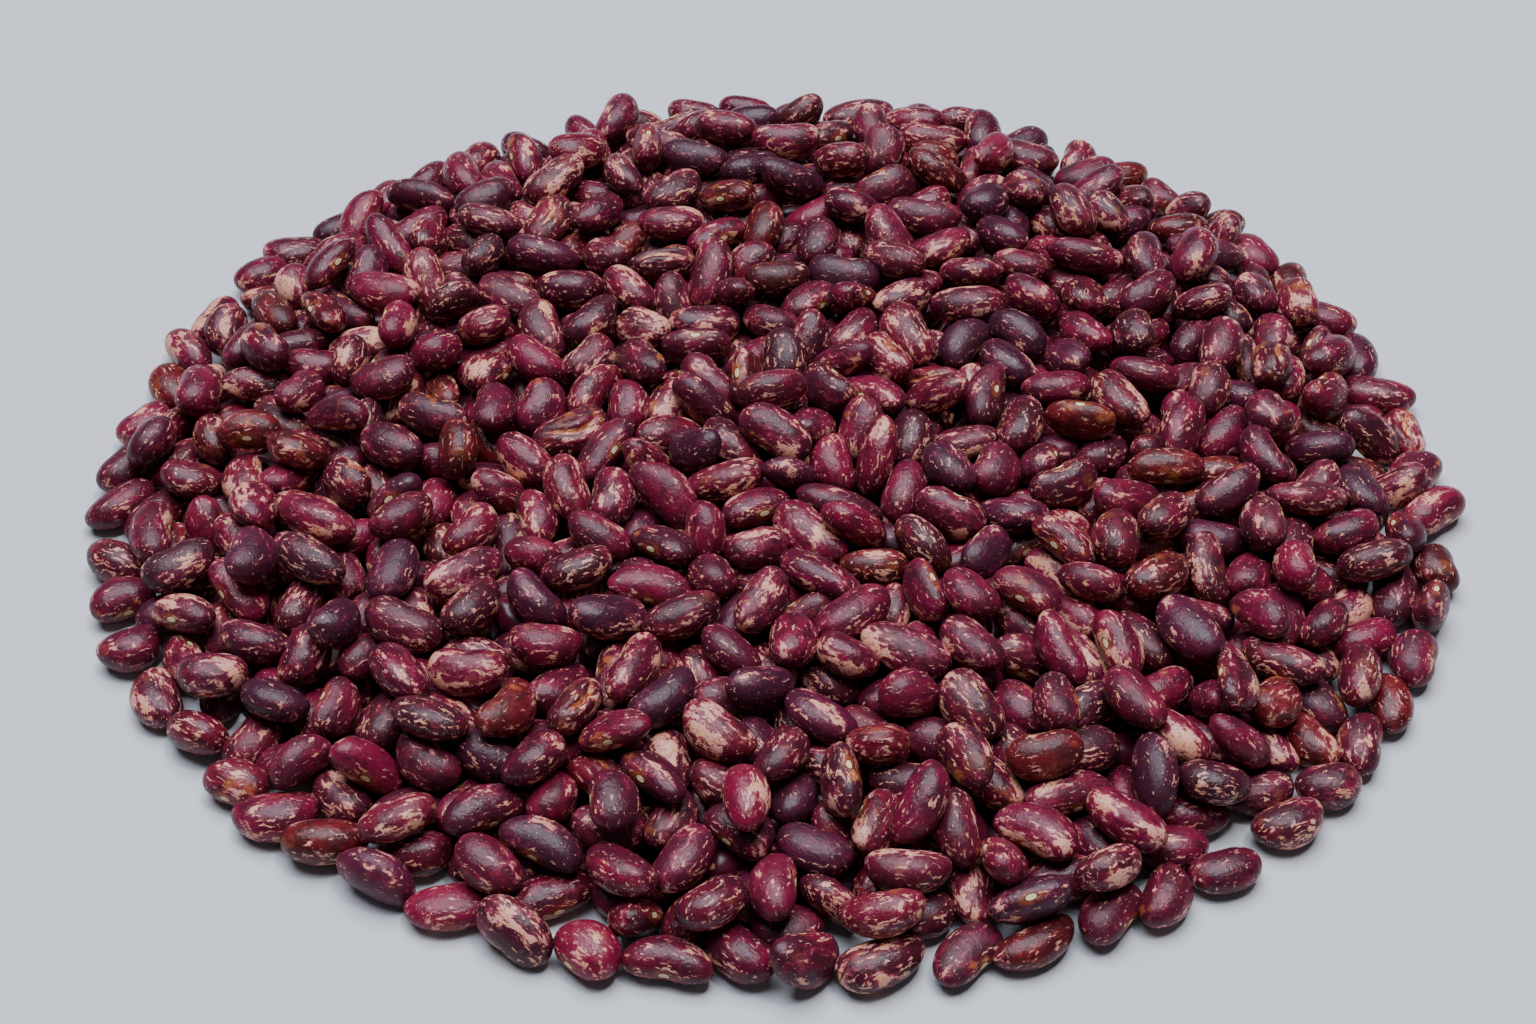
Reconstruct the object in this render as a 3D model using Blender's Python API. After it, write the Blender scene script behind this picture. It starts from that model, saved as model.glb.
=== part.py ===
# A low round heap of dried speckled kidney beans, lying loose as it was poured.
# The heap is one solid: a low core that stands for the buried beans, with the beans
# that show fused on at their real size. Metres, +Z up, origin at the middle of the
# heap's foot on the surface it lies on, +X to the right, -Y to the front.

import math

import bpy
import bmesh
import numpy as np
from mathutils import Matrix, Vector

MM = 0.001

# driving dimensions
HEAP_RADIUS = 138.0 * MM
BEAN_LENGTH = 15.0 * MM
BEAN_WIDTH = 9.2 * MM
BEAN_THICKNESS = 7.3 * MM
LENGTH_SPREAD = 0.09
LENGTH_LIMITS = (0.78, 1.22)
GIRTH_SPREAD = 0.06
GIRTH_LIMITS = (0.84, 1.16)

# waves of the heap's uneven outline: how many round it, depth as a share of the radius, phase
OUTLINE_WAVES = ((2, 0.012, 0.4), (3, 0.010, 2.1), (7, 0.006, 1.0))

# middle of the laid heap's box in plan, which becomes the origin
HEAP_MIDDLE = (0.52 * MM, 0.86 * MM)

# the row of beans along the outline, each some share of its width in from it
RIM_PITCH = 0.93 * BEAN_LENGTH
RIM_UNEVENNESS = 0.2
RIM_DEPTH = (0.45, 0.80)
RIM_TURN = 0.75
# layers from the bottom up: reach as a share of the heap's radius, ground for each
# bean, and how the beans thin out from the middle (0.5 is an even spread)
LAYERS = (
    (0.92, 118.0 * MM * MM, 0.50),
    (0.91, 129.0 * MM * MM, 0.54),
    (0.80, 158.0 * MM * MM, 0.64),
)
LAYER_TURN = 1.3
LAYER_RISE = 0.95 * BEAN_THICKNESS
RISE_SPREAD = 2.0 * MM
PLACE_SPREAD = 1.5 * MM
TILT_SPREAD = 0.22
ROLL_SPREAD = 0.55

# how the laid beans come to rest on each other
REST_STEPS = 240
SINK = 0.10 * MM
SINK_FADE = 1.1
GROUND_HOLD = 0.35
OUTLINE_HOLD = 0.45 * BEAN_WIDTH
LARGEST_TURN = 0.3
CALM = 1.5
PAIR_MARGIN = 3.0 * MM
PAIR_STEPS = 10
BALLS = 4
SEED = 11

# map of the heap's top, on which the showing beans are found
MAP_CELL = 1.5 * MM
MAP_REACH = 1.1 * HEAP_RADIUS

# the core under the showing beans
CORE_INSET = 7.0 * MM
CORE_RIM = 3.5 * MM
CORE_TOP = 16.2 * MM
CORE_FULLNESS = 4.0
CORE_SIDES = 40
CORE_RINGS = 5

# the showing beans as solids with few sides
SHOWN_BEANS = 270
SHOWN_SPACING = 11.4 * MM
LOWEST_SEAT = -0.5 * MM
HIGHEST_SEAT = 2.1 * MM
SEAT_REACH = 3.0 * MM
BEAN_SIDES = 5
BEAN_SHOULDER = 0.52
BEAN_BEND = 1.0 * MM
SIDE_SWELL = 1.02
RIM_BAND = 0.95 * BEAN_WIDTH
GROUND_BAND = 0.8 * BEAN_THICKNESS
SHORTEST_EDGE = 0.003 * MM


def outline_radius(angle):
    """The heap's radius at an angle round it."""
    radius = 1.0
    for waves, depth, phase in OUTLINE_WAVES:
        radius = radius + depth * np.cos(waves * angle + phase)
    return HEAP_RADIUS * radius


def scatter_beans(draw):
    """Centres and headings of the rim row and of each layer, before they come to rest."""
    count = int(2 * math.pi * HEAP_RADIUS / RIM_PITCH)
    step = np.arange(count) + draw.uniform(-RIM_UNEVENNESS, RIM_UNEVENNESS, count)
    angle = 2 * math.pi * step / count
    radius = outline_radius(angle) - BEAN_WIDTH * draw.uniform(*RIM_DEPTH, count)
    height = np.full(count, BEAN_THICKNESS / 2)
    centres = [np.stack([radius * np.cos(angle), radius * np.sin(angle), height], axis=1)]
    headings = [angle + math.pi / 2 + draw.normal(0, RIM_TURN, count)]
    golden = math.pi * (3 - math.sqrt(5))
    for layer, (reach, plot, thinning) in enumerate(LAYERS):
        count = int(math.pi * (reach * HEAP_RADIUS) ** 2 / plot)
        order = np.arange(count)
        angle = order * golden + LAYER_TURN * layer
        radius = reach * outline_radius(angle) * ((order + 0.5) / count) ** thinning
        x = radius * np.cos(angle) + draw.normal(0, PLACE_SPREAD, count)
        y = radius * np.sin(angle) + draw.normal(0, PLACE_SPREAD, count)
        z = BEAN_THICKNESS / 2 + LAYER_RISE * layer + draw.uniform(0, RISE_SPREAD, count)
        centres.append(np.stack([x, y, z], axis=1))
        headings.append(draw.uniform(0, 2 * math.pi, count))
    return np.concatenate(centres), np.concatenate(headings)


def bean_axes(heading, tilt, roll):
    """One matrix for each bean, whose columns run along it, across it and through it."""
    flat = np.cos(tilt)
    along = np.stack([np.cos(heading) * flat, np.sin(heading) * flat, np.sin(tilt)], axis=1)
    side = np.stack([-np.sin(heading), np.cos(heading), np.zeros(len(heading))], axis=1)
    over = np.cross(along, side)
    across = np.cos(roll)[:, None] * side + np.sin(roll)[:, None] * over
    return np.stack([along, across, np.cross(along, across)], axis=2)


def turn_axes(axes, turn):
    """The matrices turned by small rotation vectors, and squared up again."""
    along = axes[:, :, 0] + np.cross(turn, axes[:, :, 0])
    across = axes[:, :, 1] + np.cross(turn, axes[:, :, 1])
    along /= np.linalg.norm(along, axis=1, keepdims=True)
    across -= (along * across).sum(axis=1, keepdims=True) * along
    across /= np.linalg.norm(across, axis=1, keepdims=True)
    return np.stack([along, across, np.cross(along, across)], axis=2)


def near_pairs(points, owner, reach):
    """Pairs of balls of different beans that lie closer than reach."""
    cell = np.floor(points / reach).astype(np.int64)
    cell -= cell.min(axis=0) - 1
    span = cell.max(axis=0) + 2
    key = (cell[:, 0] * span[1] + cell[:, 1]) * span[2] + cell[:, 2]
    order = np.argsort(key, kind="stable")
    ordered = key[order]
    found = []
    for dx in (-1, 0, 1):
        for dy in (-1, 0, 1):
            for dz in (-1, 0, 1):
                shift = (dx * span[1] + dy) * span[2] + dz
                if shift < 0:
                    continue
                start = np.searchsorted(ordered, key + shift, "left")
                count = np.searchsorted(ordered, key + shift, "right") - start
                first = np.repeat(np.arange(len(key)), count)
                skip = np.repeat(start - np.cumsum(count) + count, count)
                second = order[skip + np.arange(count.sum())]
                keep = owner[first] != owner[second]
                if shift == 0:
                    keep &= first < second
                found.append(np.stack([first[keep], second[keep]]))
    pairs = np.concatenate(found, axis=1)
    gap = np.linalg.norm(points[pairs[0]] - points[pairs[1]], axis=1)
    return pairs[:, gap < reach]


def ball_offsets(size):
    """Four balls stand for a bean: one near each end and one at each side."""
    offsets = np.zeros((len(size), BALLS, 3))
    offsets[:, 0, 0] = -(size[:, 0] - size[:, 2]) / 2
    offsets[:, 1, 0] = (size[:, 0] - size[:, 2]) / 2
    offsets[:, 2, 1] = -(size[:, 1] - size[:, 2]) / 2
    offsets[:, 3, 1] = (size[:, 1] - size[:, 2]) / 2
    return offsets


def summed(who, values, count):
    """The rows of values added up for each bean."""
    return np.stack([np.bincount(who, values[:, k], count) for k in range(3)], axis=1)


def rest_beans(centres, axes, size):
    """Draws the beans down, and parts those that overlap, until they lie on each other."""
    count = len(centres)
    owner = np.repeat(np.arange(count), BALLS)
    radius = np.repeat(size[:, 2] / 2, BALLS)
    offsets = ball_offsets(size)
    half = size / 2
    stiffness = (np.sum(half ** 2, axis=1, keepdims=True) - half ** 2) / 5
    pairs = None
    for step in range(REST_STEPS):
        centres[:, 2] -= SINK * max(0.0, 1 - SINK_FADE * step / REST_STEPS)
        arm = np.einsum("nij,nkj->nki", axes, offsets).reshape(-1, 3)
        ball = centres[owner] + arm
        if step % PAIR_STEPS == 0:
            pairs = near_pairs(ball, owner, 2 * radius.max() + PAIR_MARGIN)
        gap_line = ball[pairs[0]] - ball[pairs[1]]
        gap = np.linalg.norm(gap_line, axis=1)
        depth = radius[pairs[0]] + radius[pairs[1]] - gap
        touching = depth > 0
        first, second = pairs[:, touching]
        depth = depth[touching]
        push = gap_line[touching] / gap[touching][:, None]
        sunk = radius - ball[:, 2]
        floor = np.nonzero(sunk > 0)[0]
        up = np.tile([0.0, 0.0, 1.0], (len(floor), 1))
        # every contact is listed once for each bean that it moves
        contact = np.concatenate([first, second, floor])
        way = np.concatenate([push, -push, up])
        deep = np.concatenate([depth, depth, sunk[floor]])
        who = owner[contact]
        lever = np.cross(arm[contact] - way * radius[contact][:, None], way)
        own_turn = np.einsum("nji,nj->ni", axes[who], lever) / stiffness[who]
        turn = np.einsum("nij,nj->ni", axes[who], own_turn)
        ease = 1 + np.sum(lever * turn, axis=1)
        pair_ease = ease[:2 * len(first)]
        partner = np.concatenate([pair_ease[len(first):], pair_ease[:len(first)], np.zeros(len(floor))])
        share = (deep / (ease + partner))[:, None]
        calm = (CALM / np.maximum(np.bincount(who, minlength=count), CALM))[:, None]
        move = calm * summed(who, share * way, count)
        twist = calm * summed(who, share * turn, count)
        on_ground = np.bincount(owner[floor], minlength=count) > 0
        move[on_ground, :2] *= GROUND_HOLD
        centres += move
        edge = outline_radius(np.arctan2(centres[:, 1], centres[:, 0])) - OUTLINE_HOLD
        centres[:, :2] *= np.minimum(1, edge / np.hypot(centres[:, 0], centres[:, 1]))[:, None]
        axes = turn_axes(axes, np.clip(twist, -LARGEST_TURN, LARGEST_TURN))
        centres = np.round(centres, 7)
        axes = np.round(axes, 6)
    return centres, axes


def lay_beans():
    """Centre, axes and size of every bean in the heap."""
    draw = np.random.default_rng(SEED)
    centres, heading = scatter_beans(draw)
    count = len(centres)
    size = np.stack([
        BEAN_LENGTH * np.clip(draw.normal(1, LENGTH_SPREAD, count), *LENGTH_LIMITS),
        BEAN_WIDTH * np.clip(draw.normal(1, GIRTH_SPREAD, count), *GIRTH_LIMITS),
        BEAN_THICKNESS * np.clip(draw.normal(1, GIRTH_SPREAD, count), *GIRTH_LIMITS),
    ], axis=1)
    tilt = draw.normal(0, TILT_SPREAD, count)
    roll = draw.normal(0, ROLL_SPREAD, count)
    centres, axes = rest_beans(centres, bean_axes(heading, tilt, roll), size)
    return centres, axes, size


def shown_cells(centres, axes, size):
    """How many cells of a map of the heap's top each bean takes."""
    cells = int(2 * MAP_REACH / MAP_CELL)
    top = np.zeros((cells, cells))
    seen = np.full((cells, cells), -1)
    for bean in range(len(centres)):
        # height of the bean's upper surface over each cell under it
        form = axes[bean] @ np.diag(4 / size[bean] ** 2) @ axes[bean].T
        low = ((centres[bean, :2] - size[bean, 0] / 2 + MAP_REACH) / MAP_CELL).astype(int)
        high = ((centres[bean, :2] + size[bean, 0] / 2 + MAP_REACH) / MAP_CELL).astype(int) + 2
        x = np.arange(low[0], high[0])[:, None] * MAP_CELL - MAP_REACH - centres[bean, 0]
        y = np.arange(low[1], high[1])[None, :] * MAP_CELL - MAP_REACH - centres[bean, 1]
        slope = form[0, 2] * x + form[1, 2] * y
        flat = form[0, 0] * x * x + 2 * form[0, 1] * x * y + form[1, 1] * y * y - 1
        root = slope ** 2 - form[2, 2] * flat
        height = centres[bean, 2] + (np.sqrt(np.maximum(root, 0)) - slope) / form[2, 2]
        patch = (slice(low[0], high[0]), slice(low[1], high[1]))
        higher = (root > 0) & (height > top[patch])
        top[patch][higher] = height[higher]
        seen[patch][higher] = bean
    return np.bincount(seen[seen >= 0], minlength=len(centres))


def showing_beans(centres, axes, size):
    """The rim row first, then the beans that show most, each clear of those before it."""
    edge = outline_radius(np.arctan2(centres[:, 1], centres[:, 0])) - RIM_BAND
    on_rim = np.hypot(centres[:, 0], centres[:, 1]) > edge
    on_ground = centres[:, 2] < GROUND_BAND
    shown = list(np.nonzero(on_rim & on_ground)[0])
    for bean in np.argsort(-shown_cells(centres, axes, size), kind="stable"):
        away = np.linalg.norm(centres[shown] - centres[bean], axis=1)
        lift = abs(seated(centres[bean])[2] - centres[bean, 2])
        if len(shown) < SHOWN_BEANS and np.all(away > SHOWN_SPACING) and lift < SEAT_REACH:
            shown.append(bean)
    return shown


def add_bean(bm, centre, axes, size):
    """A bean with few sides: two shoulder rings and two blunt ends, bent a little."""
    half = size / 2

    def point(t, across, through):
        local = np.array([half[0] * t, across - BEAN_BEND * t * t, through])
        return bm.verts.new(Vector(centre + axes @ local))

    rings = []
    for t in (-BEAN_SHOULDER, BEAN_SHOULDER):
        ring = []
        for side in range(BEAN_SIDES):
            angle = 2 * math.pi * side / BEAN_SIDES
            across = SIDE_SWELL * half[1] * math.cos(angle)
            through = SIDE_SWELL * half[2] * math.sin(angle)
            ring.append(point(t, across, through))
        rings.append(ring)
    ends = (point(-1, 0, 0), point(1, 0, 0))
    for side in range(BEAN_SIDES):
        after = (side + 1) % BEAN_SIDES
        bm.faces.new((ends[0], rings[0][after], rings[0][side]))
        bm.faces.new((rings[0][side], rings[0][after], rings[1][after], rings[1][side]))
        bm.faces.new((ends[1], rings[1][side], rings[1][after]))


def seated(centre):
    """A bean's centre, brought up or down until the bean sits in the core's top."""
    x, y, z = centre
    share = math.hypot(x, y) / (outline_radius(math.atan2(y, x)) - CORE_INSET)
    if share < 1:
        top = core_height(share)
        z = min(max(z, top + LOWEST_SEAT), top + HIGHEST_SEAT)
    return np.array([x, y, z])


def make_showing_beans(collection, centres, axes, size):
    """One object for each showing bean, in a collection of their own."""
    for number in showing_beans(centres, axes, size):
        bm = bmesh.new()
        add_bean(bm, seated(centres[number]), axes[number], size[number])
        lowest = min(vert.co.z for vert in bm.verts)
        if lowest < 0:
            bmesh.ops.translate(bm, verts=bm.verts, vec=(0, 0, -lowest))
        mesh = bpy.data.meshes.new("bean")
        bm.to_mesh(mesh)
        bm.free()
        collection.objects.link(bpy.data.objects.new("bean", mesh))


def core_height(share):
    """Height of the core's top at a share of its radius: a flat dome."""
    return CORE_RIM + (CORE_TOP - CORE_RIM) * (1 - share ** CORE_FULLNESS)


def make_core():
    """A flat-bottomed dome that follows the heap's outline."""
    bm = bmesh.new()
    foot = []
    rings = []
    for side in range(CORE_SIDES):
        angle = 2 * math.pi * side / CORE_SIDES
        radius = float(outline_radius(angle)) - CORE_INSET
        foot.append(bm.verts.new((radius * math.cos(angle), radius * math.sin(angle), 0)))
    for step in range(CORE_RINGS):
        share = 1 - step / CORE_RINGS
        ring = []
        for vert in foot:
            ring.append(bm.verts.new((share * vert.co.x, share * vert.co.y, core_height(share))))
        rings.append(ring)
    peak = bm.verts.new((0, 0, core_height(0)))
    bm.faces.new(list(reversed(foot)))
    for side in range(CORE_SIDES):
        after = (side + 1) % CORE_SIDES
        bm.faces.new((foot[side], foot[after], rings[0][after], rings[0][side]))
        for lower, upper in zip(rings, rings[1:]):
            bm.faces.new((lower[side], lower[after], upper[after], upper[side]))
        bm.faces.new((rings[-1][side], rings[-1][after], peak))
    bmesh.ops.triangulate(bm, faces=[face for face in bm.faces if len(face.verts) == 4])
    mesh = bpy.data.meshes.new("bean_heap")
    bm.to_mesh(mesh)
    bm.free()
    core = bpy.data.objects.new("bean_heap", mesh)
    bpy.context.scene.collection.objects.link(core)
    return core


def fuse(core, collection):
    """One union of the core with the beans, applied."""
    union = core.modifiers.new("showing beans", "BOOLEAN")
    union.operation = "UNION"
    union.operand_type = "COLLECTION"
    union.collection = collection
    union.solver = "MANIFOLD"
    graph = bpy.context.evaluated_depsgraph_get()
    fused = bpy.data.meshes.new_from_object(core.evaluated_get(graph))
    core.modifiers.clear()
    core.data = fused
    core.data.name = "bean_heap"
    for bean in list(collection.objects):
        bpy.data.objects.remove(bean)
    bpy.data.collections.remove(collection)


def shells(bm):
    """The closed shells of a mesh, each as a list of its faces."""
    left = set(bm.faces)
    found = []
    while left:
        shell = [left.pop()]
        for face in shell:
            for edge in face.edges:
                for other in edge.link_faces:
                    if other in left:
                        left.remove(other)
                        shell.append(other)
        found.append(shell)
    return found


def tidy(core):
    """Keeps the outer shell alone, so sealed gaps are filled and loose scraps dropped."""
    bm = bmesh.new()
    bm.from_mesh(core.data)
    bmesh.ops.triangulate(bm, faces=bm.faces)
    bmesh.ops.dissolve_degenerate(bm, dist=SHORTEST_EDGE, edges=bm.edges)
    bmesh.ops.triangulate(bm, faces=bm.faces)
    parts = sorted(shells(bm), key=len)
    for part in parts[:-1]:
        bmesh.ops.delete(bm, geom=part, context="FACES")
    bm.to_mesh(core.data)
    bm.free()


def coat_material():
    """The maroon coat of the beans."""
    material = bpy.data.materials.new("bean_coat")
    material.use_nodes = True
    shader = material.node_tree.nodes["Principled BSDF"]
    shader.inputs["Base Color"].default_value = (0.115, 0.014, 0.032, 1)
    shader.inputs["Roughness"].default_value = 0.32
    shader.inputs["Metallic"].default_value = 0.0
    return material


def main():
    for thing in list(bpy.data.objects):
        bpy.data.objects.remove(thing)
    collection = bpy.data.collections.new("showing_beans")
    bpy.context.scene.collection.children.link(collection)
    make_showing_beans(collection, *lay_beans())
    core = make_core()
    fuse(core, collection)
    tidy(core)
    core.data.transform(Matrix.Translation((-HEAP_MIDDLE[0], -HEAP_MIDDLE[1], 0)))
    core.data.materials.clear()
    core.data.materials.append(coat_material())


main()
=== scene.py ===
# The looks of a low round heap of dried speckled kidney beans: every bean is a mesh of
# its own shape, laid where the heap's solid has it, sorted into kinds by its coat.

import math
from collections import namedtuple

import bpy
import numpy as np
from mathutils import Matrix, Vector


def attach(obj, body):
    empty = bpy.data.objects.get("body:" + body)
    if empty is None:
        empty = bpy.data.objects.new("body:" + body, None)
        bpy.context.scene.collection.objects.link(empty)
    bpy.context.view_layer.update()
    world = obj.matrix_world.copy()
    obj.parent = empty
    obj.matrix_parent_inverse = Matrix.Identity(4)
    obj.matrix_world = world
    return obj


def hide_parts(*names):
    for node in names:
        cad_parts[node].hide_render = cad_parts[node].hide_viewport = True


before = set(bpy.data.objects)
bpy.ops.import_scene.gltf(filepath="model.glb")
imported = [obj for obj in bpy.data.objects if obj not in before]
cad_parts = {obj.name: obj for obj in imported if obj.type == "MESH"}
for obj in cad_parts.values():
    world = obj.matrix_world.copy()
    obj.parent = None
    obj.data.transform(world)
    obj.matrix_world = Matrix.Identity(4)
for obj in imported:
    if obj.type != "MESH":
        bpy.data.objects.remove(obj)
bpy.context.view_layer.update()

MM = 0.001

# driving dimensions of the beans and the heap, and how they lie, as in the heap's solid
HEAP_RADIUS = 138.0 * MM
BEAN_LENGTH = 15.0 * MM
BEAN_WIDTH = 9.2 * MM
BEAN_THICKNESS = 7.3 * MM
LENGTH_SPREAD = 0.09
LENGTH_LIMITS = (0.78, 1.22)
GIRTH_SPREAD = 0.06
GIRTH_LIMITS = (0.84, 1.16)

# waves of the heap's uneven outline: how many round it, depth as a share of the radius, phase
OUTLINE_WAVES = ((2, 0.012, 0.4), (3, 0.010, 2.1), (7, 0.006, 1.0))

# middle of the laid heap's box in plan, which becomes the origin
HEAP_MIDDLE = (0.52 * MM, 0.86 * MM)

# the row of beans along the outline, each some share of its width in from it
RIM_PITCH = 0.93 * BEAN_LENGTH
RIM_UNEVENNESS = 0.2
RIM_DEPTH = (0.45, 0.80)
RIM_TURN = 0.75
# layers from the bottom up: reach as a share of the heap's radius, ground for each
# bean, and how the beans thin out from the middle (0.5 is an even spread)
LAYERS = (
    (0.92, 118.0 * MM * MM, 0.50),
    (0.91, 129.0 * MM * MM, 0.54),
    (0.80, 158.0 * MM * MM, 0.64),
)
LAYER_TURN = 1.3
LAYER_RISE = 0.95 * BEAN_THICKNESS
RISE_SPREAD = 2.0 * MM
PLACE_SPREAD = 1.5 * MM
TILT_SPREAD = 0.22
ROLL_SPREAD = 0.55

# how the laid beans come to rest on each other
REST_STEPS = 240
SINK = 0.10 * MM
SINK_FADE = 1.1
GROUND_HOLD = 0.35
OUTLINE_HOLD = 0.45 * BEAN_WIDTH
LARGEST_TURN = 0.3
CALM = 1.5
PAIR_MARGIN = 3.0 * MM
PAIR_STEPS = 10
BALLS = 4
SEED = 11

# places and axes are rounded at each step, so that the beans come to lie the same anywhere
PLACE_DIGITS = 7
AXES_DIGITS = 6

# map of the heap's top, on which a bean that takes enough cells counts as showing
MAP_CELL = 1.5 * MM
MAP_REACH = 1.1 * HEAP_RADIUS
SHOWN_CELLS = 6

# seed of the coats and the beans' own shapes, and the share of the beans with their belly
# to the front that are turned round, so that few eyes show there
COAT_SEED = 7
BELLIES_TURNED = 0.55

# how finely a bean is meshed: rings along it and sides round it
SHOWN_MESH = (20, 22)
BURIED_MESH = (11, 12)
WRINKLED_MESH = (44, 48)

# a bean's form: how blunt and full its ends are, how much thicker one end and the back
# are, then how far it bends and how deep its belly is dented, from least to most
BLUNTNESS = (1.95, 2.6)
FULLNESS_POWER = 1 / 2.1
TAPER_SPREAD = 0.05
BACK_THICKENING = 0.06
BEND = (0.4 * MM, 1.5 * MM)
BEND_CENTRING = 0.3
DENT = (0.15 * MM, 0.7 * MM)
DENT_REACH = 0.30
DENT_POWER = 3

# lumps on a bean: how many waves, their pitch, and their height as a share of its girth
LUMPS = ((5, 1.4, 0.034), (6, 4.0, 0.010))

# a wrinkled coat: folds along the bean, and a swaying split with raised lips. Angles go
# round the bean in radians, and the rest are shares of its half length and its girth
FOLD_WAVES = 6
FOLD_STRETCH = (0.7, 2.2, 2.2)
FOLD_PITCH = 2.2
FOLD_HEIGHT = 0.10
SPLIT_ANGLE = (0.5, 2.2)
SPLIT_SWAY = 0.45
SWAY_PITCH = 2.2
SWAY_START = (0, 6)
SPLIT_REACH = 0.82
SPLIT_TAPER = 3
SPLIT_WIDTH = 0.17
SPLIT_DEPTH = 0.17
LIP_ANGLE = 0.42
LIP_WIDTH = 0.16
LIP_HEIGHT = 0.055

# the map that a piece is unrolled to, with a tile for each bean: columns for each row of
# tiles, and the empty share at each side of a tile
TILE_ASPECT = 0.72
TILE_MARGIN = 0.02

# the core under the beans, near black as painted shade in the gaps between them: how far in
# from the outline it ends, its foot and its rise, how flat its crown is, and the bumps on it
CORE_INSET = 17.0 * MM
CORE_FOOT = 1.6 * MM
CORE_TOP = 5.4 * MM
CORE_FLATNESS = 4
CORE_BUMP = 0.7 * MM
CORE_BUMP_PITCH = (1.9 * MM, 1.7 * MM)
CORE_MESH = (26, 96)

# the kinds of coat: share of the beans, bright and deep ground colour, then how much
# cream splash, streaks, rosy flecks and tan blush, each from 0 for none to 1 for much
Coat = namedtuple("Coat", "share bright deep splash streak flecks blush")
KINDS = {
    "maroon_splashed_beans": (0.18, (0.138, 0.0058, 0.026), (0.053, 0.0062, 0.016), 0.50, 0.46, 0.62, 0.34),
    "maroon_dotted_beans": (0.13, (0.138, 0.0058, 0.028), (0.055, 0.0064, 0.017), 0.20, 0.42, 0.80, 0.24),
    "maroon_streaked_beans": (0.13, (0.134, 0.0058, 0.022), (0.050, 0.0060, 0.014), 0.34, 0.82, 0.58, 0.38),
    "crimson_splashed_beans": (0.14, (0.174, 0.0062, 0.031), (0.072, 0.0062, 0.018), 0.46, 0.52, 0.62, 0.34),
    "crimson_dotted_beans": (0.11, (0.174, 0.0064, 0.033), (0.076, 0.0062, 0.020), 0.18, 0.42, 0.72, 0.20),
    "purple_beans": (0.08, (0.088, 0.0078, 0.028), (0.044, 0.0078, 0.020), 0.10, 0.30, 0.52, 0.16),
    "cream_mottled_beans": (0.07, (0.130, 0.0060, 0.021), (0.048, 0.0062, 0.014), 0.72, 0.90, 0.60, 0.48),
    "chestnut_beans": (0.05, (0.138, 0.0088, 0.012), (0.053, 0.0066, 0.010), 0.34, 0.54, 0.52, 0.62),
    "dark_streaked_beans": (0.09, (0.098, 0.0060, 0.020), (0.042, 0.0068, 0.015), 0.34, 0.80, 0.58, 0.42),
    "wrinkled_beans": (0.02, (0.150, 0.0064, 0.020), (0.056, 0.0064, 0.014), 0.50, 0.76, 0.52, 0.75),
}

# colours of the marks on a coat, and of the pale eye
CREAM = (0.740, 0.345, 0.190)
PINK_CREAM = (0.700, 0.335, 0.270)
ROSE = (0.320, 0.046, 0.088)
FLECK = (0.560, 0.215, 0.205)
TAN = (0.400, 0.110, 0.032)
INSIDE = (0.300, 0.062, 0.014)
EYE = (0.760, 0.620, 0.340)
EYE_RING = (0.030, 0.008, 0.007)
EYE_HALO = (0.290, 0.064, 0.016)

# the plainer pieces and the floor, each mixed of two colours
BURIED_TONES = ((0.150, 0.006, 0.032), (0.060, 0.005, 0.018))
# the core's two near-black tones are painted shade, for the darkness between the lowest beans
CORE_SHADE_TONES = ((0.012, 0.003, 0.006), (0.040, 0.007, 0.014))
FLOOR_TONES = ((0.52, 0.54, 0.57), (0.56, 0.58, 0.61))

# noises: how fine for each millimetre of skin (each metre on the core and the floor),
# octaves and roughness
NOISES = {
    "warp": (0.34, 2, 0.55),
    "threads": (1.10, 4, 0.62),
    "splash": (0.21, 6, 0.62),
    "streak_place": (0.30, 2, 0.55),
    "specks": (1.6, 2, 0.5),
    "holes": (1.5, 3, 0.6),
    "clouds": (0.38, 6, 0.66),
    "cream_tone": (0.70, 4, 0.55),
    "tan_place": (0.20, 3, 0.55),
    "halo_edge": (0.8, 3, 0.55),
    "wear": (0.5, 4, 0.55),
    "grain": (3.2, 3, 0.55),
    "dimples": (0.8, 4, 0.55),
    "waves": (1.5, 2, 0.55),
    "buried_ground": (0.2, 3, 0.55),
    "buried_cream": (0.26, 5, 0.65),
    "buried_gloss": (0.5, 3, 0.55),
    "core": (90.0, 4, 0.55),
    "floor": (40.0, 3, 0.55),
}

# where a mark starts and where it is full: on its noise, in millimetres across or through
# the bean, or for the eye in shares of its own half length and width
RANGES = {
    "bean_edge": (2.0, 4.6),
    "holes": (0.52, 0.64),
    "deep_ground": (0.15, 0.70),
    "cream_tone": (0.38, 0.62),
    "belly": (0.5, 3.6),
    "veil": (-0.10, 0.01),
    "veil_specks": (0.35, 0.62),
    "halo": (3.4, 1.2),
    "halo_edge": (0.30, 0.60),
    "eye_ring": (1.42, 1.22),
    "eye": (1.10, 0.92),
    "eye_slit": (0.12, 0.02),
    "inside": (0.42, 0.62),
    "split": (0.38, 0.72),
    "wear": (0.40, 0.75),
    "buried_ground": (0.3, 0.7),
    "buried_cream": (0.60, 0.63),
}

# how the marks lie: each bean takes its noise from its own place within this reach, and
# the place is warped by some millimetres and drawn out along the bean
COAT_SHIFT = 97.0
NOISE_MIDDLE = (0.5, 0.5, 0.5)
WARP_REACH = 2.2
SPLASH_STRETCH = (0.52, 1.0, 1.0)
STREAK_STRETCH = (0.26, 1.25, 1.25)

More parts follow.
